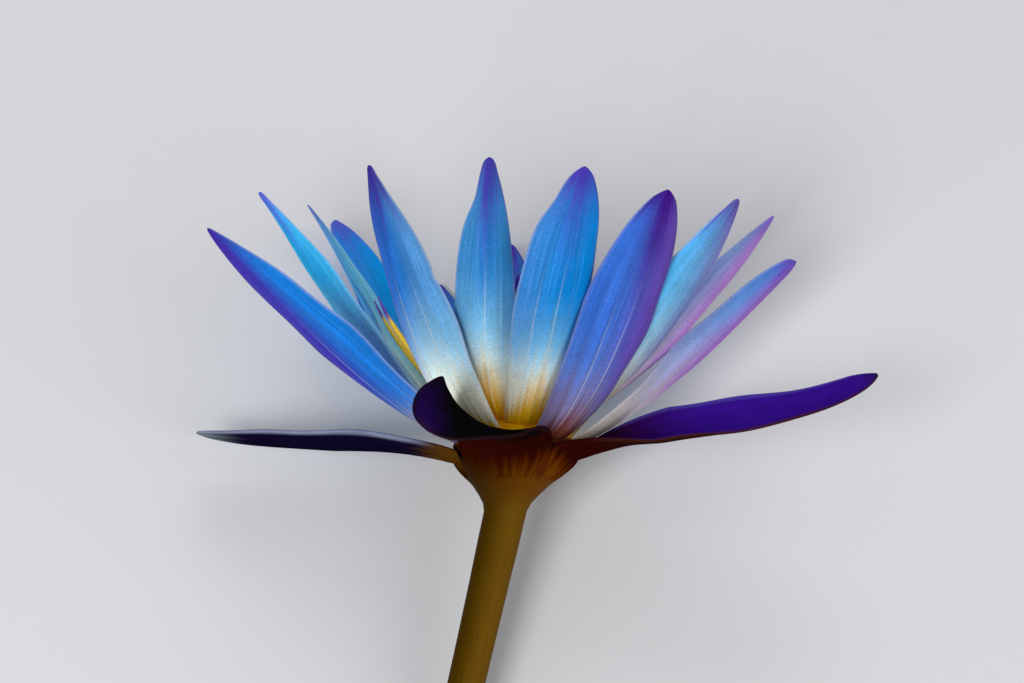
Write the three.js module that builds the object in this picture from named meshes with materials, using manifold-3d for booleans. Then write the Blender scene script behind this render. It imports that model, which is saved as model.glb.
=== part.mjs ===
// A blue-violet water lily, cut with a length of its stem and laid on its side.
// Millimetres, +Z up. The flower is modelled about its own axis, with that axis along z and
// the calyx at z = 0, and the whole bloom is then laid down in one turned group.
import * as THREE from "three";
import { mergeVertices } from "three/addons/utils/BufferGeometryUtils.js";
import Module from "manifold-3d";

const wasm = await Module();
wasm.setup();

// ---- Driving dimensions ----------------------------------------------------------------

// How the bloom lies: its axis rises from the table towards +Y by this many degrees, and
// this is where the centre of the calyx ends up.
const AXIS_RISE = 17;
const CALYX_AT = new THREE.Vector3(-2.5, 25.75, 20.2);

// Stem: a gently leaning stalk that sinks to the table and ends in a plain cut.
const STEM_LENGTH = 90.5;
const STEM_LEAN = 12.7;
const STEM_TOP_RADIUS = 3.75;
const STEM_CUT_RADIUS = 3.1;
const STEM_STEPS = 14;
const STEM_SIDES = 24;

// Receptacle: [height, radius, sideways shift], from the stem's top to the flat crown. The
// notch below its widest part seats the sepals, and the cone above it seats the petals.
const RECEPTACLE = [
  [-14.0, 3.75, -1.7],
  [-12.6, 4.2, -1.4],
  [-11.2, 5.2, -1.1],
  [-9.8, 6.4, -0.8],
  [-8.4, 7.8, -0.5],
  [-7.0, 9.1, -0.25],
  [-5.5, 10.35, 0],
  [-4.4, 9.6, 0],
  [-3.4, 10.6, 0],
  [-2.5, 10.9, 0],
  [2.2, 8.2, 0],
];

// Seats: the radius and height at which each whorl of blades leaves the receptacle.
const SEATS = {
  calyx: { radius: 10.6, height: -4.75 },
  outer: { radius: 11.0, height: -1.8 },
  second: { radius: 10.3, height: -0.6 },
  third: { radius: 9.6, height: 0.6 },
  inner: { radius: 8.9, height: 1.8 },
};

const PETAL_THICKNESS = 0.7;
const SEPAL_THICKNESS = 1.2;
const TIP_WIDTH = 0.7;
const TIP_FULLNESS = 1.15;

// Blades, in order round the axis. Angles are in degrees. `at` is the seat's place round the
// axis, 0 towards the viewer and 90 to the right. `flare` is how far the base leans out from
// the axis and `spread` how far the rest does; `recurve` bends the tip further out. `drift`
// turns the blade sideways as it rises, and `roll` turns its face, in full from `rollBy` on.
// `length` and `width` are in millimetres. `widest` is where along the blade it is broadest,
// `baseShare` how much of that width the seat has, and a larger `taper` draws the tip finer.
// `hollow` and `baseHollow` are the radii to which the blade is cupped across, and `heel` is
// how far the seat's corners reach down round the receptacle.
const PETAL_SHAPE = {
  recurve: 0,
  drift: 0,
  roll: 0,
  rollBy: 0.5,
  widest: 0.5,
  taper: 0.75,
  baseShare: 0.55,
  hollow: 10,
  baseHollow: 8,
  heel: 0.5,
};
const PETALS = [
  { name: "petal_01", seat: "third", at: 12, flare: 60, spread: 33, length: 51, width: 13.8,
    drift: 8, roll: 2, widest: 0.55, taper: 0.64 },
  { name: "petal_02", seat: "outer", at: 38, flare: 66, spread: 30, length: 50.5, width: 15,
    drift: -2, roll: -10, taper: 0.6 },
  { name: "petal_03", seat: "third", at: 56, flare: 65, spread: 38, length: 51.5, width: 11.5,
    roll: -16, widest: 0.45 },
  { name: "petal_04", seat: "inner", at: 84, flare: 66, spread: 39, length: 52, width: 10.8,
    roll: -20 },
  { name: "petal_05", seat: "outer", at: 100, flare: 66, spread: 45, length: 53, width: 14,
    roll: -22, taper: 0.38 },
  { name: "petal_06", seat: "third", at: 121, flare: 56, spread: 35, length: 46, width: 12 },
  { name: "petal_07", seat: "outer", at: 142, flare: 58, spread: 31, length: 50, width: 12 },
  { name: "petal_08", seat: "third", at: 160, flare: 58, spread: 24, length: 47, width: 11 },
  { name: "petal_09", seat: "inner", at: 181, flare: 58, spread: 20, length: 43, width: 11 },
  { name: "petal_10", seat: "third", at: 206, flare: 56, spread: 30, length: 38, width: 10 },
  { name: "petal_11", seat: "outer", at: 230, flare: 58, spread: 25, length: 56, width: 14.5,
    recurve: 12, widest: 0.6, taper: 0.55, hollow: 24 },
  { name: "petal_12", seat: "third", at: 250, flare: 60, spread: 23, length: 53, width: 12.5,
    recurve: 14, roll: 6, hollow: 18 },
  { name: "petal_13", seat: "second", at: 273, flare: 60, spread: 28.3, length: 56, width: 10,
    recurve: 12, roll: 24, widest: 0.38, taper: 0.9 },
  { name: "petal_14", seat: "outer", at: 288, flare: 66, spread: 47, length: 57, width: 13.5,
    roll: 18, widest: 0.4 },
  { name: "petal_15", seat: "second", at: 322, flare: 66, spread: 22, length: 52, width: 14.6,
    drift: -6, roll: -4, widest: 0.42, taper: 0.9 },
  { name: "petal_16", seat: "inner", at: 342, flare: 62, spread: 23, length: 49, width: 10.6,
    drift: 25, widest: 0.42, taper: 0.75 },
];

// Sepals: broader at the base. They leave the calyx steeply and then lie back.
const SEPAL_SHAPE = { ...PETAL_SHAPE, widest: 0.3, baseShare: 0.88, baseHollow: 14, heel: 1.0 };
const SEPALS = [
  { name: "sepal_front", at: 349, flare: 66, spread: 98, length: 44.5, width: 19.5,
    recurve: 4, drift: -7, roll: -35, taper: 0.4, hollow: 12 },
  { name: "sepal_right", at: 77, flare: 71, spread: 88.2, length: 55.2, width: 17.6,
    recurve: -31, roll: 26, rollBy: 0.3, taper: 0.35, hollow: 30 },
  { name: "sepal_rear", at: 183, flare: 60, spread: 17, length: 44, width: 14,
    taper: 0.7, hollow: 60 },
  { name: "sepal_left", at: 258, flare: 74, spread: 90, length: 48.5, width: 14,
    recurve: -12, roll: 8, taper: 0.5, hollow: 30 },
];

// Stamens: rows of flat filaments that stand on a ring round the pistil. Each one departs from
// its row's angles by up to half of the jitter, and from its row's length by half that share.
const STAMEN_ROWS = [
  { count: 15, seatRadius: 7.8, seatHeight: 3.4, flare: 46, spread: 12, length: 25 },
  { count: 14, seatRadius: 7.55, seatHeight: 3.9, flare: 42, spread: 8, length: 21 },
  { count: 11, seatRadius: 7.35, seatHeight: 4.3, flare: 28, spread: 0, length: 15 },
];
const STAMEN = { width: 1.7, thickness: 0.8, steps: 3 };
const STAMEN_JITTER = 6;
const STAMEN_LENGTH_JITTER = 0.1;
// The brush of stamens leans towards one side, where its filaments are longer by this share.
const STAMEN_LEAN = { towards: 278, by: 11, longer: 0.12 };
const STAMEN_RING = [
  [6.95, 2.5],
  [8.2, 2.5],
  [7.8, 3.9],
  [6.95, 5.0],
];

// Pistil: the disc that crowns the ovary, with a knob in its middle and a ring of beaks.
const PISTIL_PROFILE = [
  [0, 2.5],
  [6.6, 2.5],
  [6.6, 4.2],
  [5.9, 4.9],
  [3.2, 4.2],
  [1.5, 4.1],
  [1.3, 5.0],
  [0.7, 5.6],
  [0, 5.7],
];
const BEAKS = 14;
const BEAK = {
  seatRadius: 5.9,
  seatHeight: 3.6,
  flare: 10,
  spread: -40,
  length: 3.2,
  width: 1.5,
  thickness: 1.0,
  steps: 2,
};

// How much a strap has narrowed and thinned when it reaches its end.
const STRAP_NARROWING = 0.45;
const STRAP_THINNING = 0.3;

const BLADE_STEPS = 12;
const PETAL_CELLS = 4;
const SEPAL_CELLS = 6;
const LATHE_SIDES = 28;
const SEED = 7;

// Blades ease onto the table over this many millimetres of height.
const TABLE_EASE = 0.8;

// ---- Materials -------------------------------------------------------------------------

function finish(colour, roughness) {
  return new THREE.MeshStandardMaterial({ color: colour, roughness, metalness: 0 });
}

const PETAL_FINISH = finish(0x3f78d8, 0.5);
const SEPAL_FINISH = finish(0x3a1a8c, 0.45);
const STEM_FINISH = finish(0x7a5a1c, 0.5);
const STAMEN_FINISH = finish(0xd9a514, 0.55);
const PISTIL_FINISH = finish(0xc9a81c, 0.6);

// ---- Helpers ---------------------------------------------------------------------------

const radians = THREE.MathUtils.degToRad;

// The table's upward direction as the flower sees it, and a point's height above the table.
const UP = new THREE.Vector3(0, -Math.cos(radians(AXIS_RISE)), Math.sin(radians(AXIS_RISE)));

function heightAboveTable(point) {
  return CALYX_AT.z + point.dot(UP);
}

// Lifts a point that would sink below `clearance`, easing into the contact.
function restOnTable(point, clearance) {
  const height = heightAboveTable(point);
  const over = height - clearance;
  if (over >= TABLE_EASE) return point;
  const eased = over <= -TABLE_EASE ? 0 : (over + TABLE_EASE) ** 2 / (4 * TABLE_EASE);
  return point.clone().addScaledVector(UP, clearance + eased - height);
}

// Repeatable random numbers from 0 to 1.
function seededRandom(seed) {
  let state = seed;
  return () => {
    state = (state * 16807) % 2147483647;
    return state / 2147483647;
  };
}

function geometryOf(points, faces) {
  const positions = new Float32Array(points.length * 3);
  points.forEach((p, i) => p.toArray(positions, i * 3));
  const geometry = new THREE.BufferGeometry();
  geometry.setAttribute("position", new THREE.BufferAttribute(positions, 3));
  geometry.setIndex(faces.flat());
  return geometry;
}

function meshOf(name, geometry, material) {
  const shaded = geometry.toNonIndexed();
  shaded.computeVertexNormals();
  const mesh = new THREE.Mesh(shaded, material);
  mesh.name = name;
  return mesh;
}

function solidOf(geometry) {
  const bare = new THREE.BufferGeometry();
  bare.setAttribute("position", geometry.getAttribute("position"));
  bare.setIndex(geometry.index);
  const merged = mergeVertices(bare, 1e-4);
  return new wasm.Manifold(
    new wasm.Mesh({
      numProp: 3,
      vertProperties: new Float32Array(merged.attributes.position.array),
      triVerts: new Uint32Array(merged.index.array),
    }),
  );
}

function joined(geometries) {
  const whole = geometries.map(solidOf).reduce((sum, piece) => sum.add(piece));
  const mesh = whole.getMesh();
  const geometry = new THREE.BufferGeometry();
  geometry.setAttribute("position", new THREE.BufferAttribute(mesh.vertProperties, 3));
  geometry.setIndex(new THREE.BufferAttribute(mesh.triVerts, 1));
  return geometry;
}

// Rings of points, each ring closed on itself, skinned into one solid with flat ends.
function loft(rings) {
  const sides = rings[0].length;
  const points = rings.flat();
  const faces = [];
  for (let i = 0; i + 1 < rings.length; i++)
    for (let j = 0; j < sides; j++) {
      const a = i * sides + j;
      const b = i * sides + ((j + 1) % sides);
      faces.push([a, b, b + sides], [a, b + sides, a + sides]);
    }
  const last = (rings.length - 1) * sides;
  for (let j = 1; j + 1 < sides; j++)
    faces.push([0, j + 1, j], [last, last + j, last + j + 1]);
  return geometryOf(points, faces);
}

// ---- Blades ----------------------------------------------------------------------------

// Half of the blade's width at `s`, which runs from 0 at the base to 1 at the tip.
function halfWidth(blade, s) {
  const { width, widest, taper, baseShare } = blade;
  const full = width / 2;
  if (s <= widest)
    return full * (baseShare + (1 - baseShare) * Math.sin((Math.PI / 2) * (s / widest)));
  const towardsTip = (s - widest) / (1 - widest);
  const share = Math.max(0, Math.cos((Math.PI / 2) * towardsTip ** TIP_FULLNESS)) ** taper;
  return Math.max(full * share, TIP_WIDTH / 2);
}

// Direction along the midrib, direction across the blade, and the inward normal, at `s`.
function frameAt(blade, s) {
  const { at, flare, spread, recurve, drift, roll, rollBy } = blade;
  const out = radians(spread + (flare - spread) * (1 - s) ** 3 + recurve * s ** 3);
  const around = radians(at + drift * (1 - (1 - s) ** 2));
  const along = new THREE.Vector3(
    Math.sin(out) * Math.sin(around),
    -Math.sin(out) * Math.cos(around),
    Math.cos(out),
  );
  const across = new THREE.Vector3(Math.cos(around), Math.sin(around), 0);
  const turn = radians(roll * Math.min(1, s / rollBy));
  across.applyAxisAngle(along, turn);
  const inward = along.clone().cross(across);
  return { along, across, inward };
}

// The blade's middle surface: rows from base to tip, each with points from side to side.
function middleSurface(blade, seat, cells, clearance) {
  const { at, length, hollow, baseHollow, heel } = blade;
  const angle = radians(at);
  const midrib = new THREE.Vector3(
    seat.radius * Math.sin(angle),
    -seat.radius * Math.cos(angle),
    seat.height,
  );
  const rows = [];
  let before = frameAt(blade, 0);
  for (let i = 0; i <= BLADE_STEPS; i++) {
    const s = i / BLADE_STEPS;
    const here = frameAt(blade, s);
    if (i > 0)
      midrib.addScaledVector(before.along.clone().add(here.along).normalize(), length / BLADE_STEPS);
    const radius = 1 / THREE.MathUtils.lerp(1 / hollow, 1 / baseHollow, (1 - s) ** 2);
    const row = [];
    for (let j = 0; j <= cells; j++) {
      const u = (2 * j) / cells - 1;
      const arc = (halfWidth(blade, s) * u) / radius;
      const point = midrib
        .clone()
        .addScaledVector(here.across, radius * Math.sin(arc))
        .addScaledVector(here.inward, radius * (1 - Math.cos(arc)))
        .addScaledVector(here.along, -heel * u * u * (1 - s) ** 3);
      row.push(restOnTable(point, clearance));
    }
    rows.push(row);
    before = here;
  }
  return rows;
}

function surfaceNormal(rows, i, j) {
  const lengthwise = rows[Math.min(i + 1, rows.length - 1)][j]
    .clone()
    .sub(rows[Math.max(i - 1, 0)][j]);
  const sideways = rows[i][Math.min(j + 1, rows[i].length - 1)]
    .clone()
    .sub(rows[i][Math.max(j - 1, 0)]);
  return lengthwise.cross(sideways).normalize();
}

// Gives the middle surface its thickness. Both faces are split along the same diagonals.
function bladeGeometry(blade, seat, cells, thickness) {
  const rows = middleSurface(blade, seat, cells, thickness / 2);
  const columns = cells + 1;
  const count = rows.length * columns;
  const inner = [];
  const outer = [];
  rows.forEach((row, i) =>
    row.forEach((point, j) => {
      const normal = surfaceNormal(rows, i, j);
      inner.push(point.clone().addScaledVector(normal, thickness / 2));
      outer.push(point.clone().addScaledVector(normal, -thickness / 2));
    }),
  );
  const faces = [];
  const quad = (a, b, c, d) => faces.push([a, b, c], [a, c, d]);
  for (let i = 0; i < BLADE_STEPS; i++)
    for (let j = 0; j < cells; j++) {
      const a = i * columns + j;
      const b = a + columns;
      faces.push([a, b, b + 1], [a, b + 1, a + 1]);
      faces.push([count + a, count + b + 1, count + b], [count + a, count + a + 1, count + b + 1]);
    }
  for (let i = 0; i < BLADE_STEPS; i++) {
    const left = i * columns;
    const right = left + cells;
    quad(left, count + left, count + left + columns, left + columns);
    quad(right, right + columns, count + right + columns, count + right);
  }
  const tip = BLADE_STEPS * columns;
  for (let j = 0; j < cells; j++) {
    quad(j, j + 1, count + j + 1, count + j);
    quad(tip + j, count + tip + j, count + tip + j + 1, tip + j + 1);
  }
  return geometryOf([...inner, ...outer], faces);
}

// ---- Stem and receptacle ---------------------------------------------------------------

function ring(centre, across, depth, radius, sides) {
  return Array.from({ length: sides }, (_, j) => {
    const angle = (2 * Math.PI * j) / sides;
    return centre
      .clone()
      .addScaledVector(across, radius * Math.cos(angle))
      .addScaledVector(depth, radius * Math.sin(angle));
  });
}

// The stem leans to one side and bends level, so that its cut end lies on the table.
function stemGeometry() {
  const lean = radians(STEM_LEAN);
  const [topHeight, , topShift] = RECEPTACLE[0];
  const centre = new THREE.Vector3(topShift, 0, topHeight);
  const rings = [];
  for (let i = 1; i <= STEM_STEPS; i++) {
    const share = i / STEM_STEPS;
    const bend = radians(AXIS_RISE * (share - 0.5 / STEM_STEPS));
    const along = new THREE.Vector3(
      -Math.sin(lean),
      -Math.sin(bend) * Math.cos(lean),
      -Math.cos(bend) * Math.cos(lean),
    );
    centre.addScaledVector(along, STEM_LENGTH / STEM_STEPS);
    const depth = new THREE.Vector3(1, 0, 0).cross(along).normalize();
    const across = along.clone().cross(depth).normalize();
    const radius = STEM_CUT_RADIUS + (STEM_TOP_RADIUS - STEM_CUT_RADIUS) * (1 - share) ** 4;
    rings.unshift(ring(centre, across, depth, radius, STEM_SIDES));
  }
  const acrossAxis = new THREE.Vector3(1, 0, 0);
  const depthAxis = new THREE.Vector3(0, 1, 0);
  for (const [height, radius, shift] of RECEPTACLE)
    rings.push(ring(new THREE.Vector3(shift, 0, height), acrossAxis, depthAxis, radius, STEM_SIDES));
  return loft(rings);
}

// ---- Stamens and pistil ----------------------------------------------------------------

// A slim four-sided strap that leaves its seat at `flare` and rises at `spread`.
function strap({ at, seatRadius, seatHeight, flare, spread, length, width, thickness, steps }) {
  const around = radians(at);
  const outward = new THREE.Vector3(Math.sin(around), -Math.cos(around), 0);
  const across = new THREE.Vector3(Math.cos(around), Math.sin(around), 0);
  const centre = outward.clone().multiplyScalar(seatRadius).setZ(seatHeight);
  const rings = [];
  for (let i = 0; i <= steps; i++) {
    const s = i / steps;
    const out = radians(spread + (flare - spread) * (1 - s) ** 2);
    const along = outward.clone().multiplyScalar(Math.sin(out)).setZ(Math.cos(out));
    const depth = along.clone().cross(across);
    const half = (width / 2) * (1 - STRAP_NARROWING * s ** 3);
    const deep = (thickness / 2) * (1 - STRAP_THINNING * s);
    rings.push(
      [[-half, -deep], [half, -deep], [half, deep], [-half, deep]].map(([x, y]) =>
        centre.clone().addScaledVector(across, x).addScaledVector(depth, y),
      ),
    );
    centre.addScaledVector(along, length / steps);
  }
  return loft(rings);
}

function lathe(profile) {
  const outline = profile.map(([radius, height]) => new THREE.Vector2(radius, height));
  const closed = profile[0][0] === 0 ? outline : [...outline, outline[0].clone()];
  return new THREE.LatheGeometry(closed, LATHE_SIDES).rotateX(Math.PI / 2);
}

function stamensGeometry() {
  const random = seededRandom(SEED);
  const jitter = (range) => range * (random() - 0.5);
  const pieces = [lathe(STAMEN_RING)];
  STAMEN_ROWS.forEach(({ count, flare, spread, length, ...seat }, row) => {
    for (let i = 0; i < count; i++) {
      const at = ((i + row / 2) * 360) / count + jitter(STAMEN_JITTER);
      const facing = Math.cos(radians(at - STAMEN_LEAN.towards));
      const lean = STAMEN_LEAN.by * facing;
      pieces.push(
        strap({
          ...STAMEN,
          ...seat,
          at,
          flare: flare + lean + jitter(STAMEN_JITTER),
          spread: spread + lean + jitter(STAMEN_JITTER),
          length: length * (1 + STAMEN_LEAN.longer * facing + jitter(STAMEN_LENGTH_JITTER)),
        }),
      );
    }
  });
  return joined(pieces);
}

function pistilGeometry() {
  const pieces = [lathe(PISTIL_PROFILE)];
  for (let i = 0; i < BEAKS; i++) pieces.push(strap({ ...BEAK, at: (i * 360) / BEAKS }));
  return joined(pieces);
}

// ---- The flower ------------------------------------------------------------------------

const flower = new THREE.Group();
flower.add(meshOf("stem", stemGeometry(), STEM_FINISH));
for (const sepal of SEPALS) {
  const shaped = { ...SEPAL_SHAPE, ...sepal };
  const geometry = bladeGeometry(shaped, SEATS.calyx, SEPAL_CELLS, SEPAL_THICKNESS);
  flower.add(meshOf(sepal.name, geometry, SEPAL_FINISH));
}
for (const petal of PETALS) {
  const shaped = { ...PETAL_SHAPE, ...petal };
  const geometry = bladeGeometry(shaped, SEATS[petal.seat], PETAL_CELLS, PETAL_THICKNESS);
  flower.add(meshOf(petal.name, geometry, PETAL_FINISH));
}
flower.add(meshOf("stamens", stamensGeometry(), STAMEN_FINISH));
flower.add(meshOf("pistil", pistilGeometry(), PISTIL_FINISH));
flower.rotation.x = -radians(90 - AXIS_RISE);
flower.position.copy(CALYX_AT);

const group = new THREE.Group();
group.add(flower);
export default group;
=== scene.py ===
# A blue-violet water lily with a cut length of its stem, laid on its side on a pale table.
# Sizes are in millimetres in the flower's own frame: its axis along z, the calyx at z = 0, the
# viewer towards -y. Each piece is moved to where the flower lies, in metres, as it is made.
import random
from math import atan2, cos, exp, hypot, pi, radians, sin, sqrt, tau

import bmesh
import bpy
from mathutils import Matrix, Vector


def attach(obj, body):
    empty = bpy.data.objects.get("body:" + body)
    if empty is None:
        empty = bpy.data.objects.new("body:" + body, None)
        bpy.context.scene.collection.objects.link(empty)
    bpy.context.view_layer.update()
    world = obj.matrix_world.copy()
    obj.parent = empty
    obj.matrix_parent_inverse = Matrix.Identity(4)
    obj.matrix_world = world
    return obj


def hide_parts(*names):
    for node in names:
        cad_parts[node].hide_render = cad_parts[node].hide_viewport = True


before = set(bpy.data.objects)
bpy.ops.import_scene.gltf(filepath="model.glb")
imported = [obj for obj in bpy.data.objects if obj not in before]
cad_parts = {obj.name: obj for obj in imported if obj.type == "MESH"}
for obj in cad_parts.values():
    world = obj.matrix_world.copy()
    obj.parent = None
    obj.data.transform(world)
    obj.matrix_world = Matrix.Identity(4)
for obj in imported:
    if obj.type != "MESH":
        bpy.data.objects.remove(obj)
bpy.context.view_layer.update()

MM = 0.001

# ---- Where the flower lies -------------------------------------------------------------

AXIS_RISE = 17
CALYX_AT = Vector((-2.5, 25.75, 20.2))
UP = Vector((0, -cos(radians(AXIS_RISE)), sin(radians(AXIS_RISE))))
LAID = Matrix.Translation(CALYX_AT) @ Matrix.Rotation(radians(AXIS_RISE - 90), 4, "X")

# ---- Camera ----------------------------------------------------------------------------

VIEW_ELEVATION = 65
VIEW_DISTANCE = 520
VIEW_SCALE = 0.176
SENSOR_WIDTH = 36
IMAGE_WIDTH = 1024
# How far the picture's centre lies from the calyx, to the right and up, in millimetres.
VIEW_OFFSET = (-0.528, 15.93)


def set_camera():
    rise = radians(VIEW_ELEVATION)
    forward = Vector((0, cos(rise), -sin(rise)))
    upward = Vector((0, sin(rise), cos(rise)))
    aim = CALYX_AT + Vector((VIEW_OFFSET[0], 0, 0)) + upward * VIEW_OFFSET[1]
    data = bpy.data.cameras.new("camera")
    data.sensor_width = SENSOR_WIDTH
    data.lens = VIEW_DISTANCE / VIEW_SCALE / IMAGE_WIDTH * SENSOR_WIDTH
    data.clip_start = 0.01
    data.clip_end = 20
    camera = bpy.data.objects.new("camera", data)
    bpy.context.scene.collection.objects.link(camera)
    camera.location = (aim - forward * VIEW_DISTANCE) * MM
    camera.rotation_euler = forward.to_track_quat("-Z", "Y").to_euler()
    bpy.context.scene.camera = camera


set_camera()

# ---- The flower's plan -----------------------------------------------------------------

SEATS = {
    "calyx": (10.6, -4.75),
    "outer": (11.0, -1.8),
    "second": (10.3, -0.6),
    "third": (9.6, 0.6),
    "inner": (8.9, 1.8),
}
# A blade ends in a round cap, given by its half width. A notch is a small break in a margin: its
# side, its place along the blade, how far it runs, and its depth.
PETAL_SHAPE = dict(
    recurve=0, drift=0, roll=0, roll_by=0.5, widest=0.5, taper=0.75, share=0.55,
    hollow=10, base_hollow=8, heel=0.5, cap=0.5, notches=(),
)
PETALS = {
    "petal_01": dict(seat="third", at=12, flare=60, spread=33, length=51, width=13.8,
                     drift=8, roll=2, widest=0.55, taper=0.64, cap=1.2,
                     notches=[(-1, 0.87, 0.06, 0.5)]),
    "petal_02": dict(seat="outer", at=38, flare=66, spread=30, length=50.5, width=15,
                     drift=-2, roll=-10, taper=0.6, cap=1.2),
    "petal_03": dict(seat="third", at=56, flare=65, spread=38, length=51.5, width=11.5,
                     roll=-16, widest=0.45, cap=0.8),
    "petal_04": dict(seat="inner", at=84, flare=66, spread=39, length=52, width=10.8,
                     roll=-20),
    "petal_05": dict(seat="outer", at=100, flare=66, spread=45, length=53, width=14,
                     roll=-22, taper=0.38, cap=1.4),
    "petal_06": dict(seat="third", at=121, flare=56, spread=35, length=46, width=12),
    "petal_07": dict(seat="outer", at=142, flare=58, spread=31, length=50, width=12),
    "petal_08": dict(seat="third", at=160, flare=58, spread=24, length=47, width=11),
    "petal_09": dict(seat="inner", at=181, flare=58, spread=20, length=43, width=11),
    "petal_10": dict(seat="third", at=206, flare=56, spread=30, length=38, width=10),
    "petal_11": dict(seat="outer", at=230, flare=58, spread=25, length=56, width=14.5,
                     recurve=12, widest=0.6, taper=0.55, hollow=24, cap=1.4),
    "petal_12": dict(seat="third", at=250, flare=60, spread=23, length=53, width=12.5,
                     recurve=14, roll=6, hollow=18, cap=0.6),
    "petal_13": dict(seat="second", at=273, flare=60, spread=28.3, length=56, width=10,
                     recurve=12, roll=24, widest=0.38, taper=0.9, cap=0.8),
    "petal_14": dict(seat="outer", at=288, flare=66, spread=47, length=57, width=13.5,
                     roll=18, widest=0.4),
    "petal_15": dict(seat="second", at=322, flare=66, spread=22, length=52, width=14.6,
                     drift=-6, roll=-4, widest=0.42, taper=0.9, cap=0.8,
                     notches=[(1, 0.6, 0.02, 0.35), (-1, 0.55, 0.03, 0.3)]),
    "petal_16": dict(seat="inner", at=342, flare=62, spread=23, length=49, width=10.6,
                     drift=25, widest=0.42, taper=0.75, cap=1.0,
                     notches=[(-1, 0.86, 0.07, 0.7)]),
}
SEPAL_SHAPE = dict(PETAL_SHAPE, seat="calyx", widest=0.3, share=0.88, base_hollow=14, heel=1.0)
SEPALS = {
    "sepal_front": dict(at=349, flare=66, spread=98, length=44.5, width=19.5,
                        recurve=4, drift=-7, roll=-35, taper=0.4, hollow=12),
    "sepal_right": dict(at=77, flare=71, spread=88.2, length=55.2, width=17.6,
                        recurve=-31, roll=26, roll_by=0.3, taper=0.35, hollow=30,
                        cap=3.4),
    "sepal_rear": dict(at=183, flare=60, spread=17, length=44, width=14,
                       taper=0.7, hollow=60),
    "sepal_left": dict(at=258, flare=74, spread=90, length=48.5, width=14,
                       recurve=-12, roll=8, taper=0.5, hollow=30),
}
TIP_FULLNESS = 1.15
TABLE_EASE = 0.8

# ---- Node helpers ----------------------------------------------------------------------

FLOAT = "NodeSocketFloat"
COLOUR = "NodeSocketColor"


def linear(red, green, blue):
    """A colour as it looks on screen, 0 to 255, turned to the linear values that nodes use."""
    shares = [value / 255 for value in (red, green, blue)]
    return (*(s / 12.92 if s <= 0.04045 else ((s + 0.055) / 1.055) ** 2.4 for s in shares), 1.0)


class Wiring:
    """Adds nodes to one tree. It takes sockets, numbers and colours as they look on screen."""

    def __init__(self, tree):
        self.tree = tree

    def node(self, kind, **settings):
        node = self.tree.nodes.new(kind)
        for name, value in settings.items():
            setattr(node, name, value)
        return node

    def feed(self, socket, value):
        if isinstance(value, bpy.types.NodeSocket):
            self.tree.links.new(value, socket)
        else:
            socket.default_value = linear(*value) if isinstance(value, tuple) else value

    def attribute(self, name):
        return self.node("ShaderNodeAttribute", attribute_name=name).outputs["Fac"]

    def math(self, operation, first, second=0.0, third=0.0):
        node = self.node("ShaderNodeMath", operation=operation)
        for socket, value in zip(node.inputs, (first, second, third)):
            self.feed(socket, value)
        return node.outputs[0]

    def times(self, first, second):
        return self.math("MULTIPLY", first, second)

    def scaled(self, value, scale, start):
        return self.math("MULTIPLY_ADD", value, scale, start)

    def rise(self, value, low, high):
        """0 below low, 1 above high, and a soft step between. Low may be above high."""
        node = self.node("ShaderNodeMapRange", interpolation_type="SMOOTHSTEP")
        for socket, each in zip(node.inputs, (value, low, high)):
            self.feed(socket, each)
        return node.outputs["Result"]

    def line(self, value, centre, width):
        """1 where value is at centre, falling softly to 0 about a width away."""
        away = self.math("DIVIDE", self.math("SUBTRACT", value, centre), width)
        return self.math("EXPONENT", self.times(self.times(away, away), -1))

    def mix(self, share, first, second, blend="MIX"):
        node = self.node("ShaderNodeMix", data_type="RGBA", blend_type=blend)
        for name, value in (("Factor", share), ("A", first), ("B", second)):
            self.feed(node.inputs[name], value)
        return node.outputs["Result"]

    def vector(self, x, y, z):
        node = self.node("ShaderNodeCombineXYZ")
        for socket, value in zip(node.inputs, (x, y, z)):
            self.feed(socket, value)
        return node.outputs[0]

    def noise(self, vector, scale, detail=2.0, roughness=0.5):
        node = self.node("ShaderNodeTexNoise")
        values = {"Vector": vector, "Scale": scale, "Detail": detail, "Roughness": roughness}
        for name, value in values.items():
            self.feed(node.inputs[name], value)
        return node.outputs["Fac"]

    def place(self):
        return self.node("ShaderNodeTexCoord").outputs["Object"]

    def group(self, name, **values):
        node = self.node("ShaderNodeGroup", node_tree=bpy.data.node_groups[name])
        for key, value in values.items():
            self.feed(node.inputs[key.replace("_", " ")], value)
        return node.outputs

    def streaks(self, across, along, count, stretch, seed):
        return self.group("lengthwise streaks", Across=across, Along=along, Count=count,
                          Stretch=stretch, Seed=seed)["Streaks"]

    def pushed(self, place, *patterns):
        """The place, pushed up and down by patterns, each given with how far it reaches."""
        for pattern, reach in patterns:
            place = self.scaled(self.math("SUBTRACT", pattern, 0.5), reach, place)
        return place

    def shaded(self, skin, *patterns):
        """The skin, lighter and darker by patterns, each given with its strength and its least."""
        shade = 1.0
        for pattern, strength, least in patterns:
            shade = self.times(shade, self.scaled(pattern, strength, least))
        return self.mix(1.0, skin, self.vector(shade, shade, shade), "MULTIPLY")

    def sideways(self, low, high):
        """A soft step from left to right, between two distances from the middle in millimetres."""
        apart = self.node("ShaderNodeSeparateXYZ")
        self.feed(apart.inputs[0], self.place())
        return self.rise(apart.outputs["X"], low * MM, high * MM)

    def rust_with_painted_shade(self):
        """The calyx's lower skin: rust, painted dark on the left and lighter on the right as shade.
        """
        return self.mix(self.sideways(-12, 8), (46, 17, 0), (84, 33, 3))

    def tan(self):
        """The skin between calyx and stem: tan on the right, painted dark olive on the left as
        shade.
        """
        return self.mix(self.sideways(-12, 6), (44, 28, 1), (108, 62, 6))


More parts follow.
